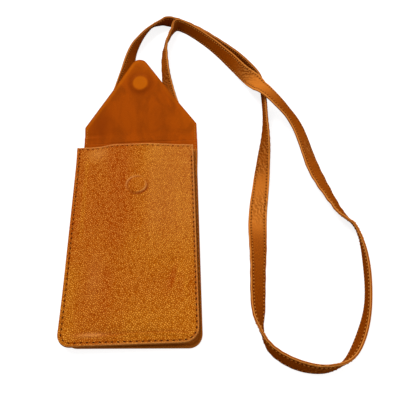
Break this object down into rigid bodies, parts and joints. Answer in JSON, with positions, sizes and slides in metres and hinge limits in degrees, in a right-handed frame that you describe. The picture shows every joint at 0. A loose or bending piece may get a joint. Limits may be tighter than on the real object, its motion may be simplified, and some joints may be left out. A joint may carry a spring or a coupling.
{
  "type": "phone pouch",
  "caption": "Flat leather phone pouch with an envelope flap that closes on magnets, a suede lining and a long flat shoulder strap, lying open on its back.",
  "frame": {"origin": "centre of the back panel's outer face, the face that the pouch lies on", "axes": "+X to the wearer's left, to the right in the picture; +Y up to the mouth and along the open flap; +Z out of the front"},
  "size_m": [0.2396, 0.3861, 0.0311],
  "materials": {
    "leather": "glossy pebbled tan",
    "gusset_leather": "satin dark tan",
    "strap_leather": "glossy tan",
    "suede": "matt suede",
    "magnet_steel": "nickel plated"
  },
  "bodies": {
    "pouch": {"back_panel": "leather", "back_lining": "suede", "gusset": "gusset_leather", "front_panel": "leather", "front_lining": "suede", "front_magnet": "magnet_steel", "strap_end_left": "strap_leather", "strap_end_right": "strap_leather", "strap": "strap_leather"},
    "fold": {"fold_leather": "leather", "fold_lining": "suede"},
    "flap": {"flap_leather": "leather", "flap_lining": "suede", "flap_magnet": "magnet_steel"}
  },
  "joints": [
    {"name": "fold_hinge", "type": "hinge", "parent": "pouch", "child": "fold", "pos_m": [0, 0.09223, 0.00358], "axis": [1, 0, 0], "range_deg": [0, 63.5]},
    {"name": "flap_hinge", "type": "hinge", "parent": "fold", "child": "flap", "pos_m": [0, 0.1105, 0.00647], "axis": [1, 0, 0], "range_deg": [0, 101]}
  ],
  "couplings": [
    {"joint": "flap_hinge", "follows": "fold_hinge", "ratio": 1.5906}
  ]
}
